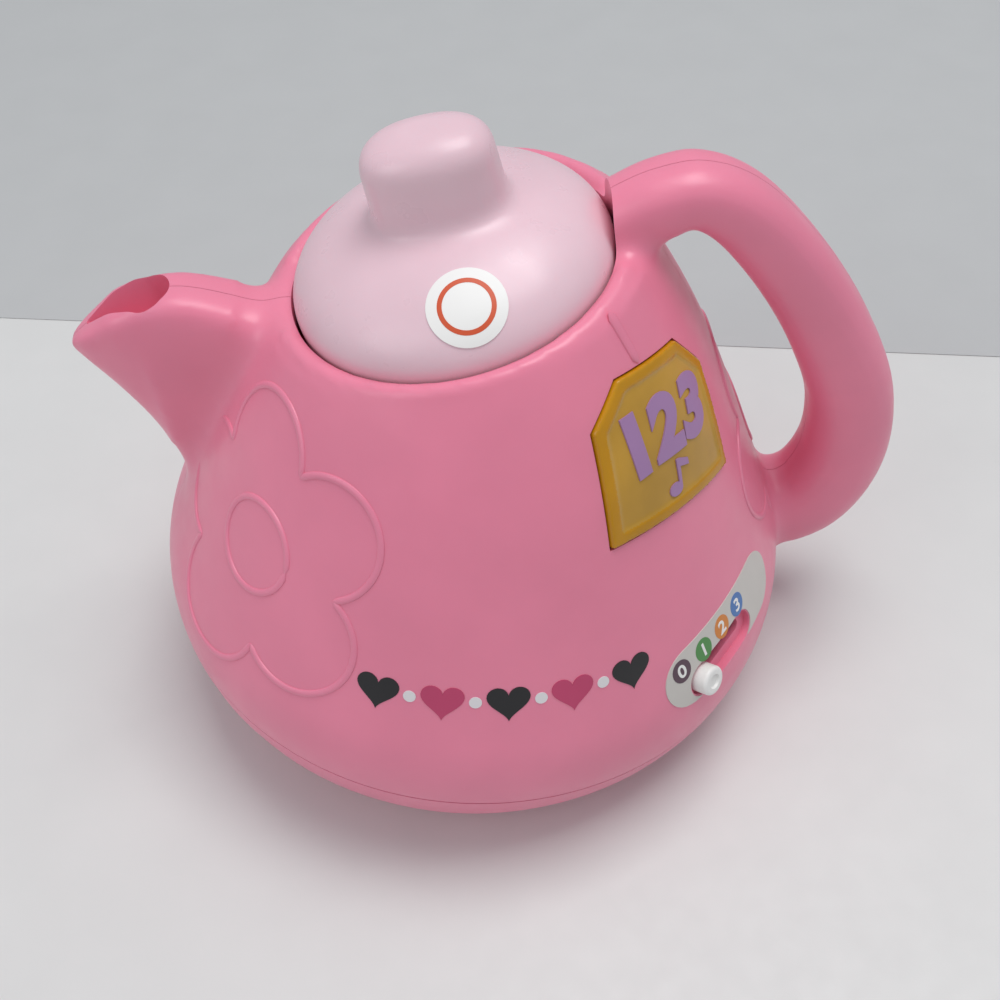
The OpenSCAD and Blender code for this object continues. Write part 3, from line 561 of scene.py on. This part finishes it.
def dome_chip(outline, proud):
    """A thin chip of the dome's own curve inside an outline."""
    shell = dome_form(-proud, rim_h - skirt_h)
    shell.transform(tilted)
    core = dome_form(0.3 * mm, rim_h - skirt_h - 1 * mm)
    core.transform(tilted)
    return cut(kept(shell, prism(outline, -4 * mm, 4 * mm, sticker_place)), core)


paper_white = plastic("paper_white", "f3f1ee", rough=0.42, cloud=0.015)
print_orange = plastic("print_orange", "d4552e", rough=0.42, cloud=0.03)
round_edge = arc((0, 0), sticker_r, 0, 360, 64)[:-1]
ring_outer, ring_inner = (arc((0, 0), sticker_r * share, 0, 360, 64)[:-1] for share in (0.72, 0.6))
paper_form = dome_chip(round_edge, 0.25 * mm)
piece("lid_sticker_paper", paper_form, paper_white, "lid_top", ["lid_sticker"])
ring_form = cut(dome_chip(ring_outer, 0.3 * mm), prism(ring_inner, -4 * mm, 4 * mm, sticker_place))
piece("lid_sticker_ring", ring_form, print_orange, "lid_top")

# %% [markdown]
# The tag is clear amber plastic with a broad rounded border and a lower face inside it, both bent
# with the wall. It is the part of a slightly larger body inside the six-cornered outline; a recess is
# cut, and fine smoothing rounds the edges.

# %% Tag button
def amber(name, code, rough, cloud, grain, clear):
    """Plastic that lets part of the light through."""
    finish = plastic(name, code, rough=rough, cloud=cloud, grain=grain)
    shader = finish.node_tree.nodes["Principled BSDF"]
    shader.inputs["Transmission Weight"].default_value = clear
    shader.inputs["IOR"].default_value = 1.46
    return finish


border_amber = amber("border_amber", "e0a012", 0.18, 0.1, 0.01, 0.3)
face_amber = amber("face_amber", "d9a63e", 0.2, 0.14, 0.02, 0.25)
tag_depth, border_w, face_drop, tag_skin = 8 * mm, 2.4 * mm, 0.45 * mm, 2 * mm
lens = kept(body_form(-tag_proud), prism(tag_outline(0), -tag_depth, 6 * mm, tag_place))
recess = prism(tag_outline(-border_w), -tag_depth / 2, 8 * mm, tag_place)
recess = cut(recess, body_form(face_drop - tag_proud))
hollow = prism(tag_outline(-border_w), -12 * mm, 6 * mm, tag_place)
hollow = kept(body_form(tag_skin - tag_proud), hollow)
lens = remeshed(cut(cut(lens, recess), hollow), 0.35 * mm)
smoothed(lens, lens.verts[:], 5)
tag_lens = piece("tag_lens", lens, border_amber, "tag", ["tag_button"], 60)
tag_lens.data.materials.append(face_amber)
to_tag = tag_place.inverted()
for polygon in tag_lens.data.polygons:
    x, y, z = to_tag @ polygon.center
    low, high = -tag_l / 2 + border_w, tag_l / 2 - border_w
    half = tag_low_w / 2 - border_w - (tag_low_w - tag_top_w) / 2 * (y - low) / tag_l
    clipped = abs(x) + y > tag_top_w / 2 + tag_l / 2 - tag_clip - 1.42 * border_w
    if z > -tag_depth + 1 * mm and low < y < high and abs(x) < half and not clipped:
        polygon.material_index = 1

# %% [markdown]
# The numbers 1, 2, 3 and a note stand on the tag's face in lilac plastic. Text is made as a text
# object, thickened, turned into a mesh, and only then put in its place.

# %% Numbers and note on the tag
def figure(text, height, thick, place, bold=0.0):
    """A mesh of one character, centred, upright in a frame."""
    letters = bpy.data.curves.new("figure", "FONT")
    letters.body, letters.size = text, 1
    letters.extrude, letters.offset = 0.5, bold
    letters.resolution_u = 6
    shown = bpy.data.objects.new("figure", letters)
    bpy.context.collection.objects.link(shown)
    bm = bmesh.new()
    evaluated = shown.evaluated_get(bpy.context.evaluated_depsgraph_get())
    bm.from_mesh(evaluated.to_mesh())
    evaluated.to_mesh_clear()
    bpy.data.objects.remove(shown)
    closed(bm, 1e-4)
    xs, ys = [v.co.x for v in bm.verts], [v.co.y for v in bm.verts]
    scale = height / (max(ys) - min(ys))
    centre = Matrix.Translation((-(max(xs) + min(xs)) / 2, -(max(ys) + min(ys)) / 2, 0))
    bm.transform(place @ Matrix.Diagonal((scale, scale, thick, 1)) @ centre)
    return closed(bm)


lilac = plastic("lilac", "a87fae", rough=0.36, cloud=0.04)
tag_core = body_form(0.1 * mm)
face_rise = tag_proud - face_drop + 0.3 * mm


def tag_print(name, form):
    """Keeps the part of a form that stands a little proud of the tag's face."""
    piece(name, cut(kept(body_form(-face_rise), form), tag_core.copy()), lilac, "tag")


for text, x, y, turn in (("1", -8.8, 2.0, 6), ("2", -0.1, 2.6, 0), ("3", 9.0, 2.4, -5)):
    place = tag_place @ Matrix.Translation((x * mm, y * mm, 0)) @ Matrix.Rotation(math.radians(turn), 4, "Z")
    tag_print("tag_number_" + text, figure(text, 13.5 * mm, 12 * mm, place, 0.05))
note_head = [(1.9 * mm * math.cos(a) - 1.1 * mm, 1.4 * mm * math.sin(a) - 11.2 * mm) for a in
             (2 * math.pi * i / 32 for i in range(32))]
note_stem = [(x * mm, y * mm) for x, y in ((0, -11.2), (0.8, -11.2), (1.1, -7.2), (3.8, -8), (3.8, -6.6),
                                           (1.1, -5.4), (0.2, -5.4))]
note = joined(prism(note_head, -6 * mm, 6 * mm, tag_place), prism(note_stem, -6 * mm, 6 * mm, tag_place))
tag_print("tag_note", note)

# %% [markdown]
# The slider cap is a small white button with a rounded rim and a shallow dish on top. One spun
# outline makes it.

# %% Slider cap
slider_r, cap_low, cap_top = 3.3 * mm, pocket_floor + 0.35 * mm, pocket_floor + 4.75 * mm
stem_low, edge_round = slot_back - 2.5 * mm, 0.8 * mm
cap_outline = [(0, stem_low), (stem_w / 2, stem_low), (stem_w / 2, cap_low), (slider_r, cap_low)]
cap_outline += arc((slider_r - edge_round, cap_top - edge_round), edge_round, 0, 90, 6)
cap_outline += [(1.7 * mm, cap_top), (1.4 * mm, cap_top - 0.5 * mm), (0, cap_top - 0.6 * mm)]
cap = spun(cap_outline, 64)
cap.transform(slot_place @ Matrix.Translation((-slot_travel / 2, 0, 0)))
piece("slider_cap", cap, switch_white, "slider", ["slider_knob"], 40)

# %% [markdown]
# The label and its prints are thin chips of the body's own curve. A chip is what a slightly larger
# body has inside an outline, so it follows the wall exactly and never floats.

# %% Switch label
body_core = body_form(0.4 * mm)


def wall_chip(outline, proud, place):
    """A thin chip on the wall inside an outline."""
    return cut(kept(body_form(-proud), prism(outline, -12 * mm, 12 * mm, place)), body_core.copy())


def moved(outline, x, y):
    return [(px + x * mm, py + y * mm) for px, py in outline]


label_grey = plastic("label_grey", "cfcac4", rough=0.4, cloud=0.03)
label_form = wall_chip(moved(stadium(27 * mm, 15 * mm), 3.5, 3.6), 0.2 * mm, slot_place)
label_form = cut(label_form, prism(stadium(slot_travel, slot_w + 0.6 * mm), -20 * mm, 20 * mm, slot_place))
piece("label_film", label_form, label_grey, "pot", ["switch_label"])
dots = (("0", -12.1, 6.9, "5b4150"), ("1", -5.0, 6.6, "4f8f4a"), ("2", 1.9, 6.6, "d98433"),
        ("3", 8.6, 6.6, "4a78b8"))
oval = [(2.5 * mm * math.cos(a), 2.9 * mm * math.sin(a)) for a in (2 * math.pi * i / 40 for i in range(40))]
for text, x, y, code in dots:
    ink = plastic("ink_" + text, code, rough=0.4, cloud=0.03)
    oval_form = wall_chip(moved(oval, x, y), 0.26 * mm, slot_place)
    piece("label_oval_" + text, oval_form, ink, "pot")
    mark = figure(text, 3.4 * mm, 12 * mm, slot_place @ Matrix.Translation((x * mm, y * mm, 0)), 0.02)
    number = cut(kept(body_form(-0.32 * mm), mark), body_core.copy())
    piece("label_number_" + text, number, paper_white, "pot")

# %% [markdown]
# Two low flowers with five petals are moulded into the wall as thin rounded ridges, and a ridge like
# a string hangs from the rim to the tag. A ridge is a loft along a path on the wall, half sunk into
# it.

# %% Moulded ridges
def wall_point(turn0, h0, u, v):
    """Point and outward direction on the wall, u along and v up from a place on it."""
    h = h0 + v * math.cos(math.radians(wall_slope(h0 + v / 2)))
    turn = math.radians(turn0) + u / ((body_radius(h) + body_radius(h0)) / 2)
    out = math.radians(wall_slope(h))
    point = Vector((body_radius(h) * math.sin(turn), -body_radius(h) * math.cos(turn), h))
    normal = Vector((math.sin(turn) * math.cos(out), -math.cos(turn) * math.cos(out), math.sin(out)))
    return leaning @ point, leaning.to_3x3() @ normal


def ridge(path, half_width, rise):
    """A half-sunk rounded line along points on the wall."""
    rings = []
    for i, (point, normal) in enumerate(path):
        before, after = path[max(0, i - 1)][0], path[min(len(path) - 1, i + 1)][0]
        side = (after - before).cross(normal).normalized()
        end = 0.35 if i in (0, len(path) - 1) else 1
        turns = [2 * math.pi * k / 12 for k in range(12)]
        rings.append([point + end * (side * half_width * math.cos(a) + normal * rise * math.sin(a))
                      for a in turns])
    return lofted(rings)


def together(forms):
    """Puts several closed forms into one bmesh."""
    whole = bmesh.new()
    for form in forms:
        mesh = bpy.data.meshes.new("part")
        form.to_mesh(mesh)
        form.free()
        whole.from_mesh(mesh)
        bpy.data.meshes.remove(mesh)
    return whole


petal_out, petal_r, disc_r, ridge_w, ridge_h = 20 * mm, 13.2 * mm, 10 * mm, 0.75 * mm, 0.4 * mm


def flower(turn, h):
    """Five petal arcs round a disc."""
    half_step = math.radians(36)
    reach = math.sqrt(petal_r ** 2 - (petal_out * math.sin(half_step)) ** 2) + petal_out * math.cos(half_step)
    meet = (reach * math.cos(half_step) - petal_out, reach * math.sin(half_step))
    sweep = math.degrees(math.atan2(meet[1], meet[0]))
    lines = [arc((0, 0), disc_r, 0, 360, 48)]
    for k in range(5):
        a = 36 + 72 * k
        middle = (petal_out * math.cos(math.radians(a)), petal_out * math.sin(math.radians(a)))
        lines.append(arc(middle, petal_r, a - sweep, a + sweep, 40))
    return together([ridge([wall_point(turn, h, u, v) for u, v in line], ridge_w, ridge_h) for line in lines])


piece("flower_front", flower(-53.6, 72.5 * mm), body_pink, "pot")
piece("flower_side", flower(99, 66 * mm), body_pink, "pot")
string_path = [wall_point(41.2 + 3.4 * k / 10, (122.5 - 9.5 * k / 10) * mm, 0, 0) for k in range(11)]
piece("tag_string", ridge(string_path, 1.0 * mm, 0.5 * mm), body_pink, "pot")

# %% [markdown]
# The front carries a small printed row of hearts with dots between them. The hearts are flat outlines
# from a well-known curve, laid on the wall as chips, so the print bends with the belly.

# %% Printed hearts on the front
def heart(size):
    turns = [2 * math.pi * i / 48 for i in range(48)]
    return [(size * math.sin(a) ** 3, size * (13 * math.cos(a) - 5 * math.cos(2 * a) - 2 * math.cos(3 * a)
                                              - math.cos(4 * a)) / 16) for a in turns]


ink_black = plastic("ink_black", "1d1b1e", rough=0.36, cloud=0.05)
ink_rose = plastic("ink_rose", "c2416b", rough=0.38, cloud=0.04)
ink_pale = plastic("ink_pale", "e6e2e4", rough=0.38, cloud=0.02)
print_h, heart_step = 58 * mm, 11.5
for k in range(5):
    turn = 2 + heart_step * (k - 2)
    place = on_wall(turn, print_h)
    ink = ink_rose if k % 2 else ink_black
    piece("print_heart_%d" % k, wall_chip(heart(4.4 * mm), 0.12 * mm, place), ink, "pot")
    if k < 4:
        dot = arc((0, 0), 1.3 * mm, 0, 360, 24)[:-1]
        place = on_wall(turn + heart_step / 2, print_h)
        piece("print_dot_%d" % k, wall_chip(dot, 0.12 * mm, place), ink_pale, "pot")

# %% [markdown]
# The nodes that stay as they are get finishes of their own: plated steel, lacquered board, cell
# sleeves, rubber. Metal is the same recipe with the metallic socket turned up.

# %% Finishes of the carried pieces
def metal(name, code, rough):
    finish = plastic(name, code, rough=rough, cloud=0.06, grain=0.05)
    finish.node_tree.nodes["Principled BSDF"].inputs["Metallic"].default_value = 1
    return finish


inside = {
    "steel": metal("plated_steel", "c4c6ca", 0.3),
    "board": plastic("board_lacquer", "2f7048", 0.35, 0.12),
    "cell_sleeve": plastic("cell_sleeve", "2d3f38", 0.3, 0.06),
    "black_plastic": plastic("black_plastic", "242426", 0.5, 0.1),
    "white_plastic": switch_white,
    "pad_rubber": plastic("pad_rubber", "bdbbb8", 0.6, 0.05),
    "lamp_lens": plastic("lamp_lens", "efe9d8", 0.2, 0.03),
    "pink_plastic": body_pink,
    "pale_plastic": lid_pink,
    "sticker": paper_white,
    "amber_plastic": border_amber}
node_slots = {row["node"]: row["material_slot"] for row in frame["record"]["subparts"]}
for node, thing in frame["nodes"].items():
    thing.data.materials.clear()
    thing.data.materials.append(inside[node_slots[node]])
print("finished nodes", len(frame["nodes"]))

# %% [markdown]
# The pot stands on a plain pale table, with a greyer floor behind its edge. Both belong to the stage,
# not to the object, and both lie flat, so that they hide nothing when the pot is seen from behind.

# %% Table and floor
def sheet_of(name, points, finish):
    bm = bmesh.new()
    bm.faces.new([bm.verts.new(p) for p in points])
    mesh = bpy.data.meshes.new(name)
    bm.to_mesh(mesh)
    bm.free()
    mesh.materials.append(finish)
    thing = bpy.data.objects.new(name, mesh)
    bpy.context.collection.objects.link(thing)
    return thing


focal_px, middle_px = 1268.66, 500


def on_table(px, py):
    """Where the line through a picture point meets the table."""
    line = ahead * focal_px + across * (px - middle_px) + upward * (middle_px - py)
    return camera_at + line * (-camera_at.z / line.z)


table_white = plastic("table_white", "dcdcda", rough=0.5, cloud=0.01)
floor_grey = plastic("floor_grey", "bfc0c0", rough=0.7, cloud=0.01)
edge_left, edge_right = on_table(0, 318), on_table(999, 357)
edge_along = (edge_right - edge_left).normalized() * 3
near_left, near_right = edge_left - edge_along, edge_right + edge_along
beyond = Vector((0, 3, 0))
lift = Vector((0, 0, 0.2 * mm))
table_half = 3
table_corners = [(x * table_half, y * table_half, 0) for x, y in ((-1, -1), (1, -1), (1, 1), (-1, 1))]
sheet_of("table", table_corners, table_white)
back_corners = (near_left, near_right, near_right + beyond, near_left + beyond)
sheet_of("back_floor", [p + lift for p in back_corners], floor_grey)

# %% [markdown]
# The light is that of a bright room: a large soft lamp above, a weaker one from the front left, and
# an even world.

# %% Light
def soft_lamp(name, at, target, size, power):
    data = bpy.data.lights.new(name, "AREA")
    data.size, data.energy = size, power
    lamp = bpy.data.objects.new(name, data)
    lamp.location = at
    lamp.rotation_euler = (Vector(target) - Vector(at)).to_track_quat("-Z", "Y").to_euler()
    bpy.context.collection.objects.link(lamp)
    return lamp


soft_lamp("ceiling_lamp", (0.25, 0.1, 1.3), (0, 0, 0.05), 0.7, 9)
soft_lamp("window_lamp", (-1.0, -0.6, 0.9), (0, 0, 0.06), 0.8, 3)
room = bpy.data.worlds.new("room")
room.use_nodes = True
room.node_tree.nodes["Background"].inputs["Color"].default_value = (0.9, 0.94, 1.0, 1)
room.node_tree.nodes["Background"].inputs["Strength"].default_value = 0.45
bpy.context.scene.world = room
bpy.context.scene.view_settings.view_transform = "Standard"

# %% Final scene update
bpy.context.view_layer.update()
